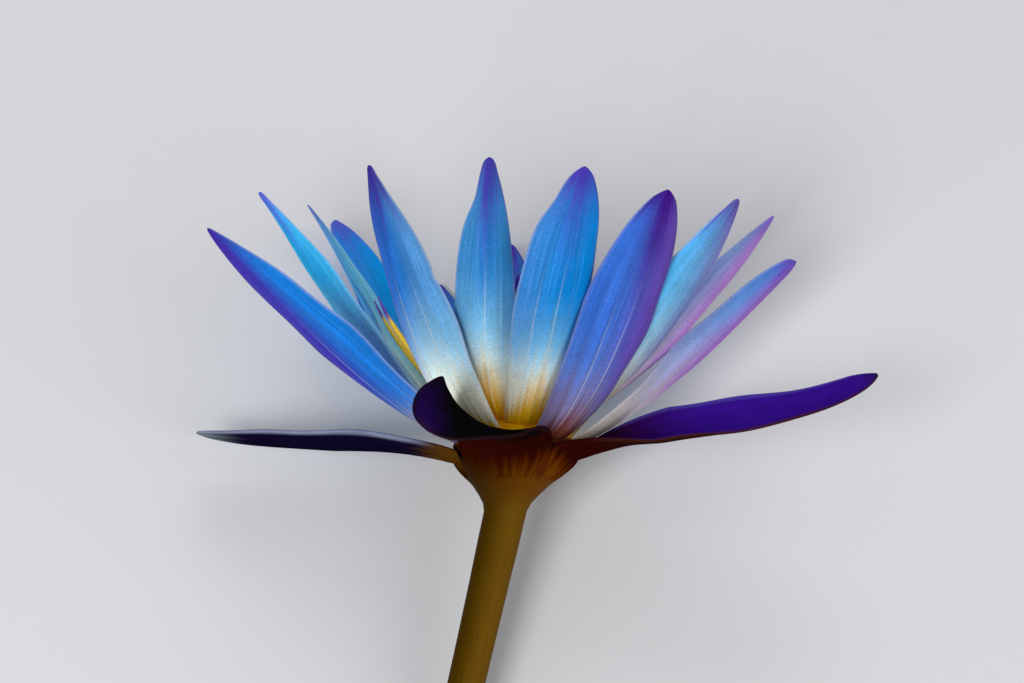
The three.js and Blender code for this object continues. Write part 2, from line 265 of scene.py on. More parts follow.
def new_group(name, inputs, outputs):
    """A shader node group with named sockets. Returns its wiring, its inputs and its end node."""
    tree = bpy.data.node_groups.new(name, "ShaderNodeTree")
    for label, default in inputs:
        kind, value = (COLOUR, linear(*default)) if isinstance(default, tuple) else (FLOAT, default)
        tree.interface.new_socket(label, in_out="INPUT", socket_type=kind).default_value = value
    for label, kind in outputs:
        tree.interface.new_socket(label, in_out="OUTPUT", socket_type=kind)
    wiring = Wiring(tree)
    start = wiring.node("NodeGroupInput")
    end = wiring.node("NodeGroupOutput")
    return wiring, start.outputs, end.inputs


# ---- Shader groups ---------------------------------------------------------------------

SKIN_OUTPUTS = [("Color", COLOUR), ("Height", FLOAT), ("Roughness", FLOAT)]
FLOWER_CREAM = (250, 244, 208)
FLOWER_YELLOW = (255, 194, 0)
PALE_MARGIN = (176, 178, 205)
PALE_VEIN = (196, 206, 205)
STEM_FLESH = (150, 158, 92)
STEM_PITH = (196, 196, 148)
# Grains and clouds of the tissue, in noise cells per metre.
GRAINS = 2600.0
CLOUDS = 260.0


def make_streaks():
    """Fine lengthwise streaks that follow a blade from its seat to its tip."""
    wire, given, out = new_group(
        "lengthwise streaks",
        [("Across", 0.0), ("Along", 0.0), ("Count", 10.0), ("Stretch", 1.5), ("Seed", 0.0)],
        [("Streaks", FLOAT)],
    )
    spot = wire.vector(
        wire.times(given["Across"], given["Count"]),
        wire.times(given["Along"], given["Stretch"]),
        given["Seed"],
    )
    wire.feed(out["Streaks"], wire.noise(spot, 1.0, 3.0, 0.6))


def make_tissue_grain():
    """Granular mottling of plant tissue, about a third of a millimetre, with a softer cloud."""
    wire, _, out = new_group("tissue grain", [], [("Grain", FLOAT), ("Cloud", FLOAT)])
    place = wire.place()
    wire.feed(out["Grain"], wire.noise(place, GRAINS, roughness=0.7))
    wire.feed(out["Cloud"], wire.noise(place, CLOUDS))


def make_petal_colours():
    """The colours of one petal, from its yellow seat over cream and blue to its violet tip."""
    wire, given, out = new_group(
        "petal colours",
        [
            ("Seat", FLOWER_YELLOW), ("Foot", FLOWER_CREAM), ("Waist", (120, 182, 208)),
            ("Body", (20, 120, 200)), ("Upper", (60, 90, 185)), ("Tip", (62, 40, 155)),
            ("Left", (60, 140, 200)), ("Left Share", 0.3), ("Left At", -0.35),
            ("Right", (110, 90, 180)), ("Right Share", 0.3), ("Right At", 0.35),
            ("Seat Reach", 0.1), ("Foot Reach", 0.33), ("Upper Reach", 0.72), ("Tip From", 0.86),
            ("Keel", 0.5), ("Vein At", 0.0), ("Vein Beside", -0.35), ("Veins", 0.6),
            ("Seed", 0.0),
        ],
        SKIN_OUTPUTS,
    )
    along = wire.attribute("along")
    across = wire.attribute("across")
    broad = wire.streaks(across, along, 6.0, 1.0, given["Seed"])
    fine = wire.streaks(across, along, 26.0, 2.2, given["Seed"])
    grain = wire.group("tissue grain")
    # Streaks push every change of colour up and down, so the colours meet in fingers. Near the
    # seat they are softer.
    pushed = wire.pushed(along, (broad, 0.42), (fine, 0.22))
    softly = wire.pushed(along, (broad, 0.2), (fine, 0.08))
    reached = wire.math("DIVIDE", softly, given["Foot Reach"])
    skin = wire.mix(wire.rise(reached, 0.25, 0.95), given["Foot"], given["Waist"])
    skin = wire.mix(wire.rise(reached, 0.55, 1.35), skin, given["Body"])
    skin = wire.mix(wire.rise(pushed, given["Upper Reach"], 1.05), skin, given["Upper"])
    blue_part = wire.rise(pushed, 0.08, 0.45)
    for side, sign in (("Left", -1), ("Right", 1)):
        reach = wire.times(wire.math("SUBTRACT", across, given[side + " At"]), sign)
        tint = wire.times(wire.rise(reach, -0.5, 0.5), given[side + " Share"])
        skin = wire.mix(wire.times(tint, blue_part), skin, given[side])
    # The keel: a violet stripe that runs down from the tip along the middle.
    keel_width = wire.scaled(wire.rise(along, 0.35, 1.0), 0.45, 0.05)
    keel = wire.line(across, given["Vein At"], keel_width)
    keel = wire.times(keel, wire.rise(pushed, 0.45, 0.95))
    skin = wire.mix(wire.times(keel, given["Keel"]), skin, given["Tip"])
    skin = wire.mix(wire.rise(pushed, given["Tip From"], 1.02), skin, given["Tip"])
    # Seat colour, deepest in the middle.
    seat_line = wire.scaled(wire.line(across, 0.0, 0.7), given["Seat Reach"], 0.01)
    seat = wire.rise(softly, wire.times(seat_line, 1.9), wire.times(seat_line, 0.3))
    skin = wire.mix(seat, skin, given["Seat"])
    # Pale veins: the midrib, a strong one beside it, and faint ones all over.
    wander = wire.noise(wire.vector(along, given["Seed"], 0.0), 3.0)
    course = wire.math("ADD", across, wire.scaled(wander, 0.06, -0.03))
    midrib = wire.line(course, given["Vein At"], 0.018)
    beside = wire.line(course, given["Vein Beside"], 0.014)
    strong = wire.math("MAXIMUM", midrib, wire.times(beside, 0.8))
    strong = wire.times(strong, wire.rise(along, 0.72, 0.32))
    strong = wire.times(strong, wire.rise(along, 0.02, 0.1))
    faint = wire.times(wire.rise(fine, 0.54, 0.72), wire.rise(along, 0.95, 0.3))
    veins = wire.math("MAXIMUM", strong, wire.times(faint, 0.25))
    skin = wire.mix(wire.times(veins, given["Veins"]), skin, PALE_VEIN)
    # A thin pale margin.
    edge = wire.rise(wire.math("ABSOLUTE", across), 0.91, 1.0)
    skin = wire.mix(wire.times(edge, 0.35), skin, PALE_MARGIN)
    skin = wire.shaded(skin, (fine, 0.4, 0.8), (broad, 1.1, 0.45), (grain["Grain"], 0.7, 0.65),
                       (grain["Cloud"], 0.3, 0.85))
    wire.feed(out["Color"], skin)
    relief = wire.scaled(fine, 0.6, wire.times(midrib, 0.8))
    wire.feed(out["Height"], wire.scaled(grain["Grain"], 0.18, relief))
    wire.feed(out["Roughness"], wire.scaled(grain["Cloud"], 0.2, 0.36))


def make_sepal_colours():
    """A sepal: violet inside, near black outside, wine-red and rust where it leaves the calyx, with
    painted shade darker on the left of its claw.
    """
    wire, given, out = new_group(
        "sepal colours",
        [
            ("Inside", (58, 22, 140)), ("Inside Foot", (46, 8, 40)),
            ("Outside", (24, 20, 20)), ("Outside Foot", (44, 8, 3)),
            ("Left Rim", (40, 20, 30)), ("Right Rim", (40, 20, 30)), ("Rim Share", 0.6),
            ("Tip", (44, 26, 62)), ("Tip Reach", 0.93),
            ("Inside From", 0.05), ("Inside To", 0.45), ("Slant", 0.0),
            ("Foot Reach", 0.16), ("Seed", 0.0),
        ],
        SKIN_OUTPUTS,
    )
    along = wire.attribute("along")
    across = wire.attribute("across")
    broad = wire.streaks(across, along, 6.0, 1.5, given["Seed"])
    fine = wire.streaks(across, along, 34.0, 3.0, given["Seed"])
    grain = wire.group("tissue grain")
    pushed = wire.pushed(along, (broad, 0.16), (fine, 0.12))
    slanted = wire.math("SUBTRACT", pushed, wire.times(across, given["Slant"]))
    inside = wire.mix(wire.rise(slanted, given["Inside From"], given["Inside To"]),
                      given["Inside Foot"], given["Inside"])
    low = wire.times(given["Foot Reach"], 0.5)
    high = wire.times(given["Foot Reach"], 1.7)
    outside = wire.mix(wire.rise(pushed, low, high), given["Outside Foot"], given["Outside"])
    # The claw takes the calyx's rust and tan, with their painted shade: darker on the left.
    outside = wire.mix(wire.rise(pushed, -0.01, -0.07), outside, wire.rust_with_painted_shade())
    outside = wire.mix(wire.rise(pushed, -0.05, -0.12), outside, wire.tan())
    skin = wire.mix(wire.rise(wire.attribute("outer"), 0.4, 0.6), inside, outside)
    skin = wire.mix(wire.rise(pushed, given["Tip Reach"], 1.03), skin, given["Tip"])
    # Each margin gets a rim colour; on the right sepal the lavender upper rim is a painted
    # highlight.
    rim = wire.mix(wire.rise(across, -0.1, 0.1), given["Left Rim"], given["Right Rim"])
    edge = wire.rise(wire.math("ABSOLUTE", across), 0.82, 1.0)
    edge = wire.times(edge, wire.rise(along, 0.06, 0.2))
    skin = wire.mix(wire.times(edge, given["Rim Share"]), skin, rim)
    skin = wire.shaded(skin, (fine, 0.9, 0.55), (grain["Grain"], 0.5, 0.75),
                       (grain["Cloud"], 0.5, 0.75))
    wire.feed(out["Color"], skin)
    wire.feed(out["Height"], wire.scaled(grain["Grain"], 0.25, fine))
    wire.feed(out["Roughness"], wire.scaled(fine, 0.25, 0.26))


def make_stem_colours():
    """The stem's olive skin, the receptacle's tan, rust and yellow bands, and the pale cut end.
    Painted shade makes the stem and calyx darker on the left.
    """
    wire, _, out = new_group("stem colours", [], SKIN_OUTPUTS)
    level = wire.attribute("level")
    turn = wire.attribute("turn")
    drawn_out = wire.times(level, 0.05)
    fine = wire.streaks(turn, drawn_out, 70.0, 3.0, 1.0)
    broad = wire.streaks(turn, drawn_out, 9.0, 2.0, 4.0)
    grain = wire.group("tissue grain")
    pushed = wire.pushed(level, (fine, 4.5), (broad, 2.5))
    # Painted shade: the stalk, and the tan and rust bands above it, are darker on the left side and
    # lighter on the right.
    stalk_with_painted_shade = wire.mix(wire.rise(wire.attribute("side"), -0.9, 0.9), (64, 44, 0), (110, 78, 14))
    skin = wire.mix(wire.rise(pushed, -15.0, -9.5), stalk_with_painted_shade, wire.tan())
    skin = wire.mix(wire.rise(pushed, -9.4, -7.4), skin, wire.rust_with_painted_shade())
    skin = wire.mix(wire.rise(level, -3.0, -1.9), skin, (96, 44, 14))
    crown = wire.times(wire.rise(level, -1.9, -0.9), wire.sideways(-11, -7))
    skin = wire.mix(crown, skin, FLOWER_YELLOW)
    skin = wire.mix(wire.attribute("cut"), skin, wire.mix(broad, STEM_FLESH, STEM_PITH))
    wire.feed(out["Color"], wire.shaded(skin, (fine, 0.8, 0.6), (grain["Grain"], 0.4, 0.8)))
    wire.feed(out["Height"], wire.scaled(grain["Grain"], 0.3, fine))
    wire.feed(out["Roughness"], wire.scaled(fine, 0.2, 0.38))


def make_stamen_colours():
    """Orange-yellow filaments, paler pollen sacs and violet tips."""
    wire, _, out = new_group("stamen colours", [], SKIN_OUTPUTS)
    grain = wire.group("tissue grain")
    pushed = wire.pushed(wire.attribute("along"), (grain["Cloud"], 0.2))
    skin = wire.mix(wire.rise(pushed, 0.0, 0.5), (250, 172, 6), (250, 206, 50))
    skin = wire.mix(wire.rise(wire.attribute("sac"), 0.2, 0.8), skin, (244, 214, 120))
    skin = wire.mix(wire.rise(pushed, 0.8, 0.9), skin, (92, 52, 168))
    wire.feed(out["Color"], wire.shaded(skin, (grain["Grain"], 0.5, 0.75)))
    wire.feed(out["Height"], grain["Grain"])
    wire.feed(out["Roughness"], wire.scaled(grain["Cloud"], 0.2, 0.45))


make_streaks()
make_tissue_grain()
make_petal_colours()
make_sepal_colours()
make_stem_colours()
make_stamen_colours()

# ---- Materials -------------------------------------------------------------------------


def plant_material(name, source, relief, gloss, glow=0.0, **values):
    """A material whose colour, roughness and bump come from one of the groups above."""
    material = bpy.data.materials.new(name)
    material.use_nodes = True
    wire = Wiring(material.node_tree)
    shader = material.node_tree.nodes["Principled BSDF"]
    given = wire.group(source, **values)
    wire.feed(shader.inputs["Base Color"], given["Color"])
    wire.feed(shader.inputs["Roughness"], given["Roughness"])
    bump = wire.node("ShaderNodeBump")
    bump.inputs["Strength"].default_value = 0.6
    bump.inputs["Distance"].default_value = relief * MM
    wire.feed(bump.inputs["Height"], given["Height"])
    wire.feed(shader.inputs["Normal"], bump.outputs["Normal"])
    shader.inputs["Subsurface Weight"].default_value = glow
    shader.inputs["Subsurface Radius"].default_value = (1.0, 0.8, 1.2)
    shader.inputs["Subsurface Scale"].default_value = 0.4 * MM
    shader.inputs["Specular IOR Level"].default_value = gloss
    return material


# What each petal's skin shows, as the outer face is seen with its tip up.
PETAL_SKINS = {
    "petal_01": dict(Foot=(255, 250, 222), Waist=(136, 202, 230), Body=(0, 132, 212),
                     Upper=(54, 84, 190), Tip=(74, 48, 166), Left=(76, 124, 192), Left_Share=0.5,
                     Right=(0, 138, 218), Right_Share=0.6, Seat_Reach=0.15, Foot_Reach=0.42,
                     Keel=0.5, Vein_At=0.05, Vein_Beside=-0.45, Veins=0.7),
    "petal_02": dict(Seat=(104, 44, 30), Foot=(128, 112, 150), Waist=(100, 120, 190),
                     Body=(62, 104, 202), Upper=(72, 76, 190), Tip=(60, 14, 124),
                     Left=(40, 112, 206), Left_Share=0.5, Right=(106, 76, 180), Right_Share=1.0,
                     Right_At=0.2, Seat_Reach=0.12, Foot_Reach=0.4, Keel=0.9, Vein_At=0.1,
                     Vein_Beside=-0.3, Veins=0.5),
    "petal_03": dict(Seat=(216, 184, 80), Foot=(240, 230, 200), Waist=(176, 220, 236),
                     Body=(104, 180, 226), Upper=(100, 118, 204), Tip=(94, 62, 156),
                     Left=(64, 172, 230), Left_Share=0.6, Right=(134, 108, 186), Right_Share=0.7,
                     Foot_Reach=0.5, Keel=0.35, Veins=0.5),
    "petal_04": dict(Seat=(236, 220, 160), Foot=(240, 230, 206), Waist=(204, 208, 232),
                     Body=(156, 162, 226), Upper=(136, 118, 206), Tip=(128, 98, 192),
                     Left=(116, 166, 214), Left_Share=0.4, Right=(192, 134, 214),
                     Right_Share=0.95, Right_At=-0.2, Foot_Reach=0.58, Keel=0.2, Veins=0.45),
    "petal_05": dict(Seat=(236, 220, 180), Foot=(236, 226, 214), Waist=(206, 200, 226),
                     Body=(110, 160, 226), Upper=(76, 98, 216), Tip=(104, 72, 186),
                     Left=(76, 136, 212), Left_Share=0.6, Left_At=-0.5, Right=(168, 98, 202),
                     Right_Share=0.95, Right_At=-0.3, Foot_Reach=0.6, Keel=0.2, Veins=0.35),
    "petal_11": dict(Body=(0, 170, 255), Upper=(0, 140, 255), Tip=(92, 88, 206),
                     Left=(0, 160, 255), Left_Share=0.3, Right=(30, 130, 250), Right_Share=0.4,
                     Foot_Reach=0.36, Keel=0.3),
    "petal_12": dict(Foot=(222, 246, 255), Waist=(190, 240, 255), Body=(70, 206, 255),
                     Upper=(60, 140, 230), Tip=(84, 96, 204), Left=(130, 216, 250),
                     Left_Share=0.8, Right=(10, 150, 240), Right_Share=0.4, Foot_Reach=0.5,
                     Keel=0.3),
    "petal_13": dict(Foot=(214, 244, 255), Waist=(180, 236, 255), Body=(0, 194, 255),
                     Upper=(40, 124, 214), Tip=(84, 88, 196), Left=(0, 190, 250), Left_Share=0.4,
                     Right=(90, 200, 244), Right_Share=0.5, Foot_Reach=0.52, Keel=0.3),
    "petal_14": dict(Seat=(96, 84, 110), Foot=(176, 178, 170), Waist=(76, 118, 186),
                     Body=(34, 104, 196), Upper=(54, 64, 184), Tip=(62, 34, 152),
                     Left=(58, 48, 168), Left_Share=1.0, Left_At=0.3, Right=(14, 116, 202),
                     Right_Share=0.95, Foot_Reach=0.24, Upper_Reach=0.55, Tip_From=0.78,
                     Keel=0.3, Veins=0.35),
    "petal_15": dict(Foot=(255, 252, 226), Waist=(150, 204, 226), Body=(8, 108, 196),
                     Upper=(48, 82, 182), Tip=(56, 36, 134), Left=(46, 88, 184), Left_Share=0.6,
                     Right=(100, 156, 190), Right_Share=0.55, Seat_Reach=0.08, Foot_Reach=0.46,
                     Tip_From=0.76, Keel=0.4, Vein_At=-0.2, Vein_Beside=0.35, Veins=0.75),
    "petal_16": dict(Foot=(255, 252, 226), Waist=(146, 208, 232), Body=(28, 122, 194),
                     Upper=(58, 84, 180), Tip=(62, 50, 150), Left=(72, 146, 200), Left_Share=0.6,
                     Right=(66, 146, 196), Right_Share=0.6, Seat_Reach=0.19, Foot_Reach=0.48,
                     Upper_Reach=0.62, Tip_From=0.78, Keel=0.45, Vein_Beside=0.5, Veins=0.7),
}
REAR_SKIN = dict(Body=(20, 130, 214), Upper=(60, 96, 190), Tip=(72, 48, 160),
                 Left=(70, 120, 200), Left_Share=0.4, Right=(110, 100, 186), Right_Share=0.4,
                 Foot_Reach=0.38, Keel=0.4, Veins=0.5)
SEPAL_SKINS = {
    # The front sepal's inside is painted in shade: near black over most of it and dark violet only
    # near its tip, where the other sepals are violet.
    "sepal_front": dict(Foot_Reach=0.17, Inside=(36, 12, 72), Inside_Foot=(14, 12, 11),
                        Inside_From=0.66, Inside_To=1.1, Slant=0.3, Outside=(11, 10, 10),
                        Left_Rim=(28, 17, 15), Right_Rim=(52, 26, 30)),
    # The right sepal's lavender-blue upper rim is a painted highlight; its brown lower rim is the
    # outer face seen edge-on.
    "sepal_right": dict(Inside=(58, 20, 142), Inside_Foot=(50, 6, 24), Outside=(38, 20, 18),
                        Left_Rim=(60, 24, 14), Right_Rim=(104, 92, 190), Rim_Share=0.7),
    "sepal_rear": dict(),
    # The left sepal's pale grey-blue tip is partly its curled face's paler colour and partly a
    # painted glint.
    "sepal_left": dict(Tip=(120, 130, 136), Foot_Reach=0.1, Inside=(26, 12, 70),
                       Outside=(15, 9, 36), Outside_Foot=(78, 50, 12), Left_Rim=(14, 10, 30),
                       Right_Rim=(132, 138, 165), Rim_Share=0.85, Tip_Reach=0.8),
}

# ---- Blades ----------------------------------------------------------------------------

PETAL_THICKNESS = 0.7
SEPAL_THICKNESS = 1.2
MARGIN_WAVE = 0.3
MIDRIB_RIDGE = 0.16
MIDRIB_REACH = 0.07
PLEATS = 5.5
PLEAT_DEPTH = 0.035
THIN_TIP = 0.12
ROOT_THINNING = 0.75
# How thick a blade stays at its margins and at its tip, as shares of its midrib's thickness.
MARGIN_SHARE = 0.42
TIP_SHARE = 0.6
# A petal's root runs this far into the crown. A sepal's claw runs down the receptacle to here.
ROOT_LENGTH = 0.9
ROOT_SHARE = 0.1
CLAW_END = (7.35, -8.6)
# How far in and down the claw first leaves the seat.
CLAW_BEND = (0.3, 1.45)
CLAW_WIDENING = 0.07
CLAW_SHIFT = -0.5
LENGTH_STEPS = 56
ROOT_STEPS = 5
CROSS_CELLS = 16
SEED_STEP = 3.7


def blend(low, high, share):
    return low + (high - low) * share


def half_width(blade, s):
    """Half the blade's width at the share s of its length, with its rounded tip."""
    full = blade["width"] / 2
    if s <= blade["widest"]:
        swell = sin(pi / 2 * s / blade["widest"])
        return full * blend(blade["share"], 1, swell)
    towards_tip = (s - blade["widest"]) / (1 - blade["widest"])
    share = max(0, cos(pi / 2 * min(1, towards_tip) ** TIP_FULLNESS)) ** blade["taper"]
    left = min(1, (1 - s) * blade["length"] / (1.5 * blade["cap"]))
    rounding = sqrt(max(0.02, 1 - (1 - left) ** 2))
    return ((full * share) ** 3 + blade["cap"] ** 3) ** (1 / 3) * rounding


def frame_at(blade, s):
    """Direction along the midrib, direction across the blade, and the inward normal."""
    left = 1 - s
    out = radians(blend(blade["spread"], blade["flare"], left ** 3) + blade["recurve"] * s ** 3)
    around = radians(blade["at"] + blade["drift"] * (1 - left ** 2))
    along = Vector((sin(out) * sin(around), -sin(out) * cos(around), cos(out)))
    turn = Matrix.Rotation(radians(blade["roll"] * min(1, s / blade["roll_by"])), 3, along)
    across = turn @ Vector((cos(around), sin(around), 0))
    return along, across, along.cross(across)


def rest_on_table(point, clearance):
    """Lifts a point that would lie lower than its clearance above the table, with a soft onset."""
    height = CALYX_AT.z + point.dot(UP)
    over = height - clearance
    if over >= TABLE_EASE:
        return point
    eased = 0 if over <= -TABLE_EASE else (over + TABLE_EASE) ** 2 / (4 * TABLE_EASE)
    return point + UP * (clearance + eased - height)


def blade_rows(blade, chance, thickness):
    """The blade's middle surface: rows from seat to tip, each with points from side to side."""
    radius, height = SEATS[blade["seat"]]
    angle = radians(blade["at"])
    midrib = Vector((radius * sin(angle), -radius * cos(angle), height))
    waves = [(chance.uniform(2.2, 3.4), chance.uniform(0, tau)) for _ in range(2)]
    shares = [1 - (1 - i / LENGTH_STEPS) ** 1.3 for i in range(LENGTH_STEPS + 1)]
    rows = []
    before = frame_at(blade, 0)
    for i, s in enumerate(shares):
        along, across, inward = frame_at(blade, s)
        if i:
            step = blade["length"] * (s - shares[i - 1])
            midrib = midrib + (before[0] + along).normalized() * step
        cup = 1 / blend(1 / blade["hollow"], 1 / blade["base_hollow"], (1 - s) ** 2)
        width = half_width(blade, s)
        row = []
        for j in range(CROSS_CELLS + 1):
            u = 2 * j / CROSS_CELLS - 1
            rate, phase = waves[u > 0]
            notch = sum(
                depth * exp(-((s - centre) / reach) ** 2)
                for side, centre, reach, depth in blade["notches"]
                if side * u > 0
            )
            arc = (width - notch * abs(u)) * u / cup
            wave = MARGIN_WAVE * abs(u) ** 3 * sin(tau * rate * s + phase)
            wave *= sin(pi * min(1, s * 1.05)) ** 1.5
            point = midrib + across * (cup * sin(arc))
            point += inward * (cup * (1 - cos(arc)) + wave)
            point -= along * (blade["heel"] * u * u * (1 - s) ** 3)
            row.append(rest_on_table(point, thickness / 2))
        rows.append(row)
        before = (along, across, inward)
    foot = rows[0]
    for k in range(1, ROOT_STEPS + 1):
        share = k / ROOT_STEPS
        shares.insert(0, -ROOT_SHARE * share)
        rows.insert(0, [root_point(blade, point, share) for point in foot])
    return shares, rows


def root_point(blade, start, share):
    """A point of a blade's root, which runs on from its seat into the crown or down the calyx."""
    if blade["seat"] != "calyx":
        return start - frame_at(blade, 0)[0] * (ROOT_LENGTH * share)
    radius = hypot(start.x, start.y)
    end_radius, end_height = CLAW_END
    keep = (1 - share) ** 2
    turn = 2 * share * (1 - share)
    across = keep * radius + turn * (radius - CLAW_BEND[0]) + share ** 2 * end_radius
    height = keep * start.z + turn * (start.z - CLAW_BEND[1]) + share ** 2 * end_height
    middle = radians(blade["at"])
    beside = (atan2(start.x, -start.y) - middle + pi) % tau - pi
    angle = middle + beside * (1 + CLAW_WIDENING * min(1, 3 * share))
    sideways = sin(angle) * across + CLAW_SHIFT * share ** 2
    return Vector((sideways, -cos(angle) * across, height))


def new_mesh(*labels):
    """An empty mesh whose points carry the labelled values, which the materials read."""
    mesh = bmesh.new()
    for label in labels:
        mesh.verts.layers.float.new(label)
    return mesh


def add_point(mesh, place, **values):
    vert = mesh.verts.new(place)
    for label, value in values.items():
        vert[mesh.verts.layers.float[label]] = value
    return vert


def join_rings(mesh, rings):
    """Walls from each ring of points to the next."""
    count = len(rings[0])
    for lower, upper in zip(rings, rings[1:]):
        for j in range(count):
            k = (j + 1) % count
            mesh.faces.new((lower[j], lower[k], upper[k], upper[j]))


def close_rings(mesh, rings):
    join_rings(mesh, rings)
    mesh.faces.new(rings[0])
    mesh.faces.new(rings[-1])
    bmesh.ops.recalc_face_normals(mesh, faces=mesh.faces)


def blade_mesh(name, blade, thickness, seed):
    """A closed blade, thick at the midrib and thin at its rounded margins."""
    chance = random.Random(seed)
    shares, rows = blade_rows(blade, chance, thickness)
    last = len(rows) - 1
    mesh = new_mesh("along", "across", "outer")

    def add(point, outer):
        return add_point(mesh, LAID @ point * MM, along=s, across=u, outer=outer)

    rings = []
    for i, (s, row) in enumerate(zip(shares, rows)):
        inner = []
        outer = []
        rims = []
        for j, point in enumerate(row):
            u = 2 * j / CROSS_CELLS - 1
            lengthwise = rows[min(i + 1, last)][j] - rows[max(i - 1, 0)][j]
            sideways = row[min(j + 1, CROSS_CELLS)] - row[max(j - 1, 0)]
            normal = lengthwise.cross(sideways).normalized()
            thick = thickness / 2 * blend(1, MARGIN_SHARE, abs(u) ** 2.5)
            thick *= blend(1, TIP_SHARE, s ** 3)
            # The last stretch closes to a thin tip, and the root thins to its end.
            thick = min(thick, max(THIN_TIP, (1 - s) * 8))
            thick *= 1 + ROOT_THINNING * min(0, s / ROOT_SHARE)
            rib = MIDRIB_RIDGE * exp(-((u / MIDRIB_REACH) ** 2)) * (1 - s) ** 0.7
            pleat = PLEAT_DEPTH * cos(u * PLEATS * pi) * sin(pi * s)
            inner.append(add(point + normal * (thick - rib * 0.6 + pleat), 0.0))
            outer.append(add(point - normal * (thick + rib - pleat), 1.0))
            if j in (0, CROSS_CELLS):
                beyond = sideways.normalized() * (0.6 * thick * (1 if j else -1))
                rims.append(add(point + beyond, 0.5))
        rings.append([rims[0], *inner, rims[1], *reversed(outer)])
    join_rings(mesh, rings)
    for ring, s in ((rings[0], shares[0]), (rings[-1], shares[-1])):
        middle = sum((vert.co for vert in ring), Vector()) / len(ring)
        hub = add_point(mesh, middle, along=s, outer=0.5)
        for j, vert in enumerate(ring):
            mesh.faces.new((vert, ring[(j + 1) % len(ring)], hub))
    bmesh.ops.recalc_face_normals(mesh, faces=mesh.faces)
    return finished(name, mesh)


def plain_mesh(mesh, name="shape"):
    data = bpy.data.meshes.new(name)
    mesh.to_mesh(data)
    mesh.free()
    return data


def finished(name, mesh):
    """Turns the mesh into an object with smooth shading."""
    data = plain_mesh(mesh, name)
    data.shade_smooth()
    piece = bpy.data.objects.new(name, data)
    bpy.context.scene.collection.objects.link(piece)
    return piece


def fit(piece, node, material):
    """Gives the piece its material, and lets it stand for its node in the frame."""
    piece.data.materials.clear()
    piece.data.materials.append(material)
    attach(piece, "root")
    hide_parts(node)
    return piece


def fit_blades(kind, plans, shape, thickness, skins, first_seed, relief, gloss, glow):
    """Every petal, or every sepal, each with a material of its own."""
    for i, (name, plan) in enumerate(plans.items()):
        blade = blade_mesh(name + "_blade", dict(shape, **plan), thickness, first_seed + i)
        values = dict(skins.get(name, REAR_SKIN), Seed=first_seed + i * SEED_STEP)
        skin = plant_material(name + "_skin", kind + " colours", relief, gloss, glow, **values)
        fit(blade, name, skin)


fit_blades("petal", PETALS, PETAL_SHAPE, PETAL_THICKNESS, PETAL_SKINS, 0, 0.05, 0.03, 0.1)
fit_blades("sepal", SEPALS, SEPAL_SHAPE, SEPAL_THICKNESS, SEPAL_SKINS, 40, 0.06, 0.0, 0.0)

# ---- Stem and receptacle ---------------------------------------------------------------

STEM_LENGTH = 90.5
STEM_LEAN = 12.7
STEM_TOP_RADIUS = 3.75
STEM_CUT_RADIUS = 3.1
STEM_STEPS = 14
# The receptacle from the stem up: level, radius, and how far its middle lies to the right.
RECEPTACLE = [
    (-14.0, 3.75, -1.7),
    (-12.6, 4.2, -1.4),
    (-11.2, 5.2, -1.1),
    (-9.8, 6.4, -0.8),
    (-8.4, 7.8, -0.5),
    (-7.0, 9.1, -0.25),
    (-5.5, 10.35, 0),
    (-4.4, 9.6, 0),
    (-3.4, 10.6, 0),
    (-2.5, 10.9, 0),
    (2.2, 8.2, 0),
]
SKIN_SIDES = 72
# Soft ribs along the stem: how many, and their height as a share of its radius.
STEM_RIBS = 12
STEM_RIB = 0.006
# Rings of the cut end, from its middle out: width as a share of the stem's, how far sunk in mm.
STEM_CUT = [(0.25, 0.2), (0.6, 0.15), (0.88, 0.03), (0.95, 0.0)]


def stem_sections():
    """Centre, direction across, direction of depth, radius and level, from cut to crown."""
    lean = radians(STEM_LEAN)
    centre = Vector((RECEPTACLE[0][2], 0, RECEPTACLE[0][0]))
    sections = []
    for i in range(1, STEM_STEPS + 1):
        share = i / STEM_STEPS
        bend = radians(AXIS_RISE * (share - 0.5 / STEM_STEPS))
        along = Vector((-sin(lean), -sin(bend) * cos(lean), -cos(bend) * cos(lean)))
        centre = centre + along * (STEM_LENGTH / STEM_STEPS)
        depth = Vector((1, 0, 0)).cross(along).normalized()
        across = along.cross(depth).normalized()
        radius = STEM_CUT_RADIUS + (STEM_TOP_RADIUS - STEM_CUT_RADIUS) * (1 - share) ** 4
        sections.insert(0, (centre, across, depth, radius, centre.z))
    right, back = Vector((1, 0, 0)), Vector((0, 1, 0))
    for level, radius, shift in RECEPTACLE:
        sections.append((Vector((shift, 0, level)), right, back, radius, level))
    return sections


